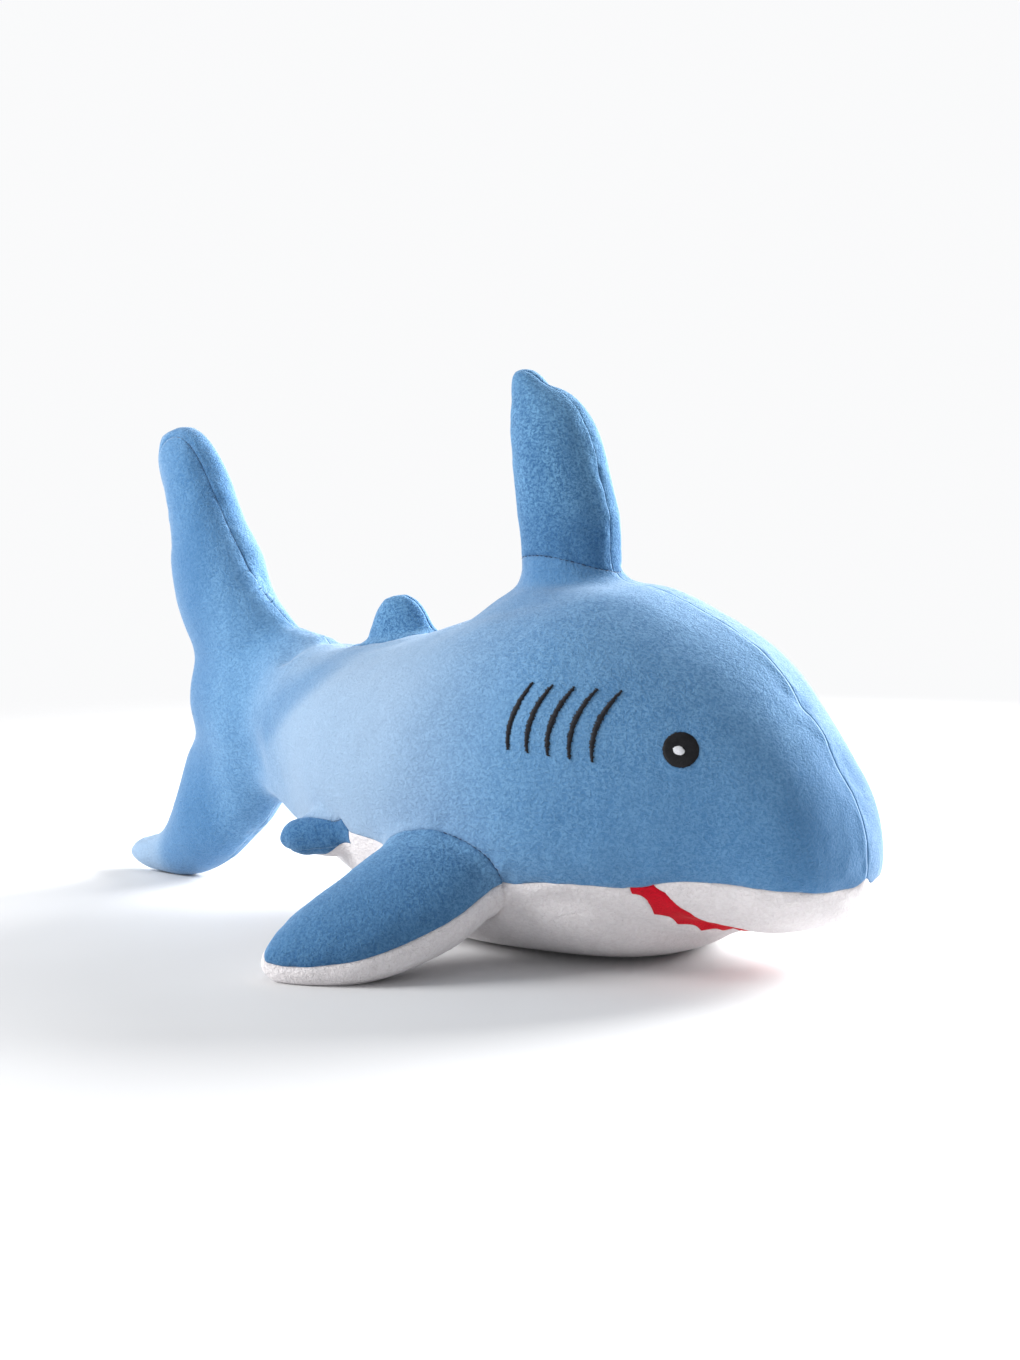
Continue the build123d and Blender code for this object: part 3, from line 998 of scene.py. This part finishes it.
def fillings():
    """Fibre filling under the skins, one clump per body, from the CAD filling."""
    for node in [n for n in frame["nodes"] if n.endswith("stuffing")]:
        points, faces = mesh_arrays(frame["nodes"][node].data)
        points, quads = remeshed(points, faces, 5.0 if "torso" in node or "tail" in node else 3.5)
        points = smoothed(points, quads, 10, keep_size=False)
        normals = normals_of(points, quads)
        inset = np.minimum(INSET, INSET_PART * depth_behind(points, quads, normals))
        inset = inset + np.maximum(dent_depth(points), 0)
        points = points + normals * (0.5 * fractal(points, 9.0, 6) - inset)[:, None]
        points[:, 2] = np.maximum(points[:, 2], UNDER_FABRIC)
        obj = new_object(node.replace("stuffing", "filling"), points, quads)
        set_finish(obj, "fibre_filling")
        body = node.replace("_stuffing", "")
        if body == "torso":
            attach(obj, "torso")
        elif body == "tail":
            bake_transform(obj)
        else:
            blend_fin(obj)
        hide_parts(node)
        obj.data.materials.append(MATERIALS["fibre_filling"])


# ---- materials
class Nodes:
    """Short way to write a material's nodes."""

    def __init__(self, name):
        self.material = bpy.data.materials.new(name)
        self.material.use_nodes = True
        self.tree = self.material.node_tree
        self.shader = self.tree.nodes["Principled BSDF"]
        self.place = self.add("ShaderNodeTexCoord").outputs["Object"]

    def add(self, kind, **values):
        node = self.tree.nodes.new(kind)
        for key, value in values.items():
            setattr(node, key, value)
        return node

    def feed(self, value, socket):
        if isinstance(value, bpy.types.NodeSocket):
            self.tree.links.new(value, socket)
        else:
            socket.default_value = value

    def noise(self, size, detail, stretch=(1, 1, 1), roughness=0.5, distortion=0.0, turn=(0, 0, 0)):
        """Noise whose bumps are size millimetres wide, longer where stretch is above 1."""
        mapping = self.add("ShaderNodeMapping")
        self.feed(self.place, mapping.inputs["Vector"])
        self.feed(turn, mapping.inputs["Rotation"])
        self.feed([1 / s for s in stretch], mapping.inputs["Scale"])
        node = self.add("ShaderNodeTexNoise")
        values = {"Vector": mapping.outputs[0], "Scale": 1 / (size * MM), "Detail": detail,
                  "Roughness": roughness, "Distortion": distortion}
        for key, value in values.items():
            self.feed(value, node.inputs[key])
        return node.outputs["Fac"]

    def ramp(self, value, low, high, to_low=0.0, to_high=1.0):
        node = self.add("ShaderNodeMapRange")
        node.interpolation_type = "SMOOTHSTEP"
        self.feed(value, node.inputs["Value"])
        limits = {"From Min": low, "From Max": high, "To Min": to_low, "To Max": to_high}
        for key, number in limits.items():
            node.inputs[key].default_value = number
        return node.outputs["Result"]

    def math(self, operation, *values):
        """Takes the values together from the left, two at a time."""
        total = values[0]
        for value in values[1:]:
            node = self.add("ShaderNodeMath", operation=operation)
            self.feed(total, node.inputs[0])
            self.feed(value, node.inputs[1])
            total = node.outputs[0]
        return total

    def product(self, *values):
        return self.math("MULTIPLY", *values)

    def most(self, *values):
        return self.math("MAXIMUM", *values)

    def mix(self, factor, a, b):
        node = self.add("ShaderNodeMix", data_type="RGBA")
        self.feed(factor, node.inputs["Factor"])
        for value, socket in ((a, node.inputs[6]), (b, node.inputs[7])):
            self.feed((*value, 1.0) if isinstance(value, tuple) else value, socket)
        return node.outputs[2]

    def axes(self):
        """Places along X, Y and Z in metres."""
        node = self.add("ShaderNodeSeparateXYZ")
        self.feed(self.place, node.inputs[0])
        return node.outputs

    def bump(self, height, distance, strength, before=None):
        """Relief of so many millimetres, on top of the one before."""
        node = self.add("ShaderNodeBump")
        node.inputs["Distance"].default_value = distance * MM
        node.inputs["Strength"].default_value = strength
        self.feed(height, node.inputs["Height"])
        if before is not None:
            self.feed(before, node.inputs["Normal"])
        return node.outputs["Normal"]

    def finish(self, **values):
        for key, value in values.items():
            self.feed(value, self.shader.inputs[key.replace("_", " ")])
        return self.material


def body_painted_light_and_shade(n):
    """Painted light and painted shade on the body, as two masks: painted light on the flank and the
    lower lobe's tip, painted shade on the head, the tail, below the dorsal fin and along the waist's
    fold.
    """
    x, _, z = n.axes()
    # painted shade on the head and the front of the nose
    head_shade = n.most(n.product(n.ramp(x, 0.09, 0.20), n.ramp(z, 0.15, 0.06, 0.1, 1.0)),
                  n.ramp(x, 0.218, 0.242, 0.0, 1.7))
    # painted shade on the tail behind the waist
    tail = n.product(n.ramp(x, -0.145, -0.170, 0.0, 1.7), n.ramp(x, -0.218, -0.200),
                     n.ramp(z, 0.235, 0.195, 0.6, 1.0))
    # painted shade below the dorsal fin's root
    collar_shade = n.product(n.ramp(z, 0.158, 0.180, 0.0, 1.5), n.ramp(x, 0.130, 0.090),
                       n.ramp(x, 0.020, 0.045))
    along = n.math("SUBTRACT", z, n.product(x, 0.69))   # the waist's fold, along which shade is painted, slants down to the tail
    fold_shade = n.product(n.ramp(along, 0.148, 0.164), n.ramp(along, 0.190, 0.168),
                     n.ramp(x, -0.020, -0.055), n.ramp(x, -0.125, -0.095))
    off_fold_shade = n.math("SUBTRACT", 1.0, n.product(fold_shade, 0.7))
    # painted light on the flank and on the lower lobe's tip
    flank_light = n.product(n.ramp(x, 0.130, 0.015), n.ramp(x, -0.118, -0.050),
                      n.ramp(z, 0.180, 0.130, 0.15, 1.0), off_fold_shade)
    lobe_tip_light = n.product(n.ramp(x, -0.195, -0.220), n.ramp(z, 0.10, 0.06))
    return n.most(flank_light, lobe_tip_light), n.most(head_shade, tail, collar_shade, fold_shade)


def fin_painted_light_and_shade(n):
    """Painted light and painted shade on the fins, as two masks: painted light near the pectoral
    roots, painted shade towards the pectoral tips, low on the dorsal fin and on the pelvic fins."""
    x, y, z = n.axes()
    reach = n.math("ABSOLUTE", y, 0.0)
    # painted light near the pectoral roots
    root_light = n.product(n.ramp(reach, 0.115, 0.085, 0.0, 0.35), n.ramp(z, 0.15, 0.12),
                          n.ramp(x, 0.000, 0.020))
    # painted shade on the pelvic fins, under the body
    pelvic = n.product(n.ramp(x, 0.020, 0.000, 0.0, 1.3), n.ramp(z, 0.12, 0.10))
    low = n.product(n.ramp(z, 0.235, 0.200), n.ramp(x, 0.015, 0.030), n.ramp(z, 0.15, 0.17))
    return root_light, n.most(n.ramp(reach, 0.095, 0.135, 0.0, 1.2), low, pelvic)


def even_zones(n):
    """The same all over."""
    return 0.0, 0.0


# Strengths of the painted light, the painted shade, the painted sheen at the edges and the painted
# shade in the seams
PAINTED_LIGHT_WEIGHT, PAINTED_SHADE_WEIGHT, PAINTED_SHEEN_WEIGHT, SEAM_SHADE_WEIGHT = 0.55, 0.38, 0.6, 0.38


def plush(name, dark, mid, light, rim, seam_shade_colour, pile, mottle, sheen, stretch, light_and_shade_masks):
    """Short-pile plush: tufts, brushed patches, painted light and shade by zone, a painted sheen at
    the edge where it is seen from the side, and painted shade in the seams.
    """
    n = Nodes(name)
    tufts = n.noise(pile, 3.0, stretch, 0.62, 0.6, (0.4, 0.5, 0.3))
    fine = n.noise(pile * 0.42, 2.0, stretch, 0.6)
    brushed = n.noise(9.0, 3.0, (1, 1, 1.6), 0.6, 0.8)
    wide = n.noise(55.0, 2.0, (1.3, 1, 1), 0.5, 0.3)
    colour = n.mix(n.ramp(tufts, 0.36, 0.64), dark, light)
    colour = n.mix(mottle, mid, colour)
    colour = n.mix(n.ramp(fine, 0.35, 0.7, 0.0, 0.35 * mottle), colour, light)
    colour = n.mix(n.ramp(brushed, 0.40, 0.66, 0.0, 0.26), colour, dark)
    colour = n.mix(n.ramp(wide, 0.35, 0.65, 0.0, 0.25), colour, light)
    # Painted light toward the rim colour and painted shade toward the dark colour, by zone
    painted_light, painted_shade = light_and_shade_masks(n)
    colour = n.mix(n.product(painted_light, PAINTED_LIGHT_WEIGHT), colour, rim)
    colour = n.mix(n.product(painted_shade, PAINTED_SHADE_WEIGHT), colour, dark)
    # Painted sheen: the colour turns toward the rim colour where the surface is seen from the side
    facing = n.add("ShaderNodeLayerWeight")
    n.feed(0.5, facing.inputs["Blend"])
    edge = n.math("POWER", facing.outputs["Facing"], 3.0)
    edge = n.product(edge, n.ramp(tufts, 0.25, 0.6, 0.55, 1.0), PAINTED_SHEEN_WEIGHT)
    colour = n.mix(edge, colour, rim)
    # Painted shade in the seams' creases and on the hems, from the seam attribute
    seam = n.add("ShaderNodeAttribute", attribute_name="seam").outputs["Fac"]
    colour = n.mix(n.product(seam, SEAM_SHADE_WEIGHT), colour, seam_shade_colour)
    normal = n.bump(tufts, 1.5 * pile / 1.4, 0.8)
    normal = n.bump(fine, 0.5 * pile / 1.4, 0.5, normal)
    normal = n.bump(brushed, 0.8, 0.3, normal)
    return n.finish(Base_Color=colour, Roughness=0.95, Normal=normal, Specular_IOR_Level=0.08,
                    Sheen_Weight=sheen, Sheen_Roughness=0.5, Sheen_Tint=(*rim, 1.0))


def felt(name, dark, light):
    """Matted felt: short crossing fibres, no direction."""
    n = Nodes(name)
    fibres = n.noise(0.7, 4.0, (2.5, 1, 1), 0.7, 1.5)
    crossing = n.noise(0.7, 4.0, (1, 2.5, 1), 0.7, 1.5, (0.6, 0, 0.9))
    patches = n.noise(9.0, 2.0)
    mass = n.product(n.math("ADD", fibres, crossing), 0.5)
    colour = n.mix(n.ramp(mass, 0.35, 0.65), dark, light)
    colour = n.mix(n.ramp(patches, 0.4, 0.7, 0, 0.35), colour, dark)
    normal = n.bump(mass, 0.35, 0.6)
    return n.finish(Base_Color=colour, Roughness=0.88, Normal=normal, Specular_IOR_Level=0.2,
                    Sheen_Weight=0.25, Sheen_Roughness=0.5, Sheen_Tint=(1.0, 0.35, 0.3, 1.0))


def thread(name, dark, light, gloss):
    """Rayon embroidery thread: twisted strands with a soft shine."""
    n = Nodes(name)
    twist = n.noise(0.35, 2.0, (1, 1, 3.0), 0.6, 0.5, (0.8, 0.2, 0.5))
    patches = n.noise(3.0, 2.0)
    colour = n.mix(n.ramp(twist, 0.35, 0.7), dark, light)
    colour = n.mix(n.ramp(patches, 0.4, 0.7, 0, 0.4), colour, dark)
    normal = n.bump(twist, 0.12, 0.5)
    rough = n.ramp(patches, 0.3, 0.7, gloss, gloss + 0.15)
    return n.finish(Base_Color=colour, Roughness=rough, Normal=normal, Specular_IOR_Level=0.35,
                    Anisotropic=0.4)


def fibre(name):
    """Loose polyester filling."""
    n = Nodes(name)
    clumps = n.noise(6.0, 4.0, (1, 1, 1.5), 0.6, 1.0)
    strands = n.noise(0.8, 3.0, (4, 1, 1), 0.6, 1.2)
    colour = n.mix(n.ramp(clumps, 0.3, 0.7), (0.72, 0.72, 0.70), (0.90, 0.90, 0.88))
    normal = n.bump(strands, 0.5, 0.6, n.bump(clumps, 2.0, 0.6))
    return n.finish(Base_Color=colour, Roughness=0.85, Normal=normal, Specular_IOR_Level=0.2,
                    Sheen_Weight=0.3)


# A plush's colours: dark, mid and light pile, the colour of its painted light and painted sheen (also
# its sheen tint), and of its painted seam shade; then pile size, mottle, sheen, stretch and its masks
# of painted light and shade
MATERIALS = {
    "blue_plush": plush(
        "blue_plush_pile", (0.062, 0.190, 0.400), (0.116, 0.286, 0.530), (0.192, 0.395, 0.650),
        (0.45, 0.56, 0.69), (0.050, 0.150, 0.32), 1.25, 0.85, 0.4, (1.4, 1, 1), body_painted_light_and_shade),
    "fin_plush": plush(
        "fin_plush_pile", (0.028, 0.110, 0.270), (0.080, 0.226, 0.445), (0.168, 0.372, 0.615),
        (0.33, 0.52, 0.74), (0.030, 0.105, 0.25), 1.2, 0.9, 0.3, (1.3, 1, 1), fin_painted_light_and_shade),
    "white_plush": plush(
        "white_plush_pile", (0.76, 0.712, 0.722), (0.855, 0.812, 0.822), (0.91, 0.875, 0.885),
        (0.95, 0.94, 0.95), (0.60, 0.53, 0.51), 1.6, 0.7, 0.2, (1.3, 1, 1), even_zones),
    "mouth_felt": felt("mouth_felt_fibres", (0.45, 0.000, 0.012), (0.78, 0.002, 0.022)),
    "eye_thread": thread("eye_black_thread", (0.003, 0.003, 0.004), (0.011, 0.011, 0.014), 0.6),
    "glint_thread": thread("glint_white_thread", (0.72, 0.73, 0.76), (0.92, 0.93, 0.96), 0.5),
    "gill_thread": thread("gill_black_thread", (0.005, 0.005, 0.008), (0.022, 0.022, 0.030), 0.5),
    "seam_thread": thread("seam_navy_thread", (0.012, 0.030, 0.075), (0.030, 0.065, 0.14), 0.55),
    "fibre_filling": fibre("polyester_fibre"),
}


def slot_of_skin(name):
    if name == "mouth_lining_felt":
        return "mouth_felt"
    if name in ("belly_skin", "snout_skin") or name.endswith("pectoral_fin_bottom_skin"):
        return "white_plush"
    return "fin_plush" if "_fin_" in name else "blue_plush"


# ---- stage
AMBIENT = 0.415
# Round soft lights: place, diameter, watts
LIGHTS = {
    "left_softbox": ((-0.95, -1.05, 0.75), 0.8, 25.0),
    "back_softbox": ((-0.25, 1.45, 0.75), 0.8, 18.0),
    "right_softbox": ((0.60, 1.42, 0.70), 0.9, 78.0),
    "top_softbox": ((-0.15, 0.25, 1.7), 1.2, 4.0),
}
LIGHTS_AIM = (0.03, 0, 0.1)
FLOOR_REACH = 9000              # millimetres from the middle to each side
CAMERA_AT = (0.64712, -0.79864, 0.21)
CAMERA_AIM = (0.04530, 0.0, 0.13078)
SENSOR, LENS = 36.0, 50.3       # height of the sensor and focal length


def floor_material():
    """Pale matt table that fades into the background far from the toy."""
    n = Nodes("pale_floor")
    patches = n.ramp(n.noise(180.0, 2.0), 0.3, 0.7)
    colour = n.mix(patches, (0.70, 0.70, 0.705), (0.73, 0.73, 0.735))
    n.finish(Base_Color=colour, Roughness=0.85, Specular_IOR_Level=0.1)
    distance = n.add("ShaderNodeVectorMath", operation="LENGTH")
    n.feed(n.place, distance.inputs[0])
    fade = n.add("ShaderNodeMixShader")
    n.feed(n.ramp(distance.outputs["Value"], 0.55, 1.5), fade.inputs[0])
    n.feed(n.shader.outputs[0], fade.inputs[1])
    n.feed(n.add("ShaderNodeBsdfTransparent").outputs[0], fade.inputs[2])
    n.feed(fade.outputs[0], n.tree.nodes["Material Output"].inputs["Surface"])
    return n.material


def studio_world():
    """Soft even light, with a brighter background for the camera alone."""
    world = bpy.data.worlds.new("studio")
    world.use_nodes = True
    tree = world.node_tree
    light = tree.nodes["Background"]
    light.inputs[0].default_value = (0.95, 0.97, 1.0, 1.0)
    light.inputs[1].default_value = AMBIENT
    seen = tree.nodes.new("ShaderNodeBackground")
    seen.inputs[0].default_value = (0.955, 0.958, 0.965, 1.0)
    mix = tree.nodes.new("ShaderNodeMixShader")
    tree.links.new(tree.nodes.new("ShaderNodeLightPath").outputs["Is Camera Ray"], mix.inputs[0])
    tree.links.new(light.outputs[0], mix.inputs[1])
    tree.links.new(seen.outputs[0], mix.inputs[2])
    tree.links.new(mix.outputs[0], tree.nodes["World Output"].inputs["Surface"])
    return world


def placed(obj, place, target):
    """Puts a light or the camera in its place, aimed at the target."""
    obj.location = place
    obj.rotation_euler = (Vector(target) - Vector(place)).to_track_quat("-Z", "Y").to_euler()
    bpy.context.scene.collection.objects.link(obj)
    return obj


def stage():
    """Pale floor, soft lights and the camera."""
    scene = bpy.context.scene
    r = FLOOR_REACH
    floor = new_object("floor", [(-r, -r, 0), (r, -r, 0), (r, r, 0), (-r, r, 0)], [(0, 1, 2, 3)],
                       smooth=False)
    floor.data.materials.append(floor_material())
    for name, (place, size, power) in LIGHTS.items():
        data = bpy.data.lights.new(name, "AREA")
        data.shape, data.size, data.energy = "DISK", size, power
        placed(bpy.data.objects.new(name, data), place, LIGHTS_AIM)
    scene.world = studio_world()
    scene.view_settings.view_transform = "Standard"
    camera = bpy.data.cameras.new("camera")
    camera.sensor_fit, camera.sensor_height, camera.lens = "VERTICAL", SENSOR, LENS
    camera.clip_start = 0.02
    scene.camera = placed(bpy.data.objects.new("camera", camera), CAMERA_AT, CAMERA_AIM)


# ---- build
SHORTEST_RUN = 30       # points of a seam that is long enough for stitches


def blue_root_edge(fin, a, b):
    """Whether the seam between two skins is the blue part of a fin's root."""
    one_on_fin = a.startswith(fin) != b.startswith(fin)
    return one_on_fin and "belly_skin" not in (a, b) and "bottom" not in a + b


def build():
    points, quads = whole_form()
    points = puffed(points, quads)
    points, quads = subdivided(points, quads)
    tris = triangles_of(quads, points)
    points, tris, label = sewn_form(points, tris)
    points, crease, edges, one, two = relieved(points, tris, label)
    normals = normals_of(points, tris)
    behind = depth_behind(points, tris, normals)
    for name in sorted(set(label)):
        obj = skin(name, points, tris[label == name], normals, crease, behind, slot_of_skin(name))
        obj.data.materials.append(MATERIALS[slot_of_skin(name)])
        place_skin(obj)
    surface = Surface(points, tris)
    for fin in ("dorsal_fin", "left_pectoral_fin", "right_pectoral_fin"):
        mine = np.array([blue_root_edge(fin, a, b) for a, b in zip(one, two)])
        if "pectoral" in fin:           # only the front half of the root shows its thread
            mine &= LIMBS[fin].local(points[edges[:, 0]])[0] > 4
        for index, run in enumerate(r for r in chains(edges[mine]) if len(r) > SHORTEST_RUN):
            obj = running_stitches(f"{fin}_root_stitches_{index}", points[run], surface)
            obj.data.materials.append(MATERIALS["seam_thread"])
    eyes(surface)
    gills(surface)
    for obj in bpy.context.scene.objects:
        if obj.get("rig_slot") and obj.type == "MESH" and not obj.data.materials:
            obj.data.materials.append(MATERIALS[obj["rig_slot"]])
    fillings()


build()
stage()
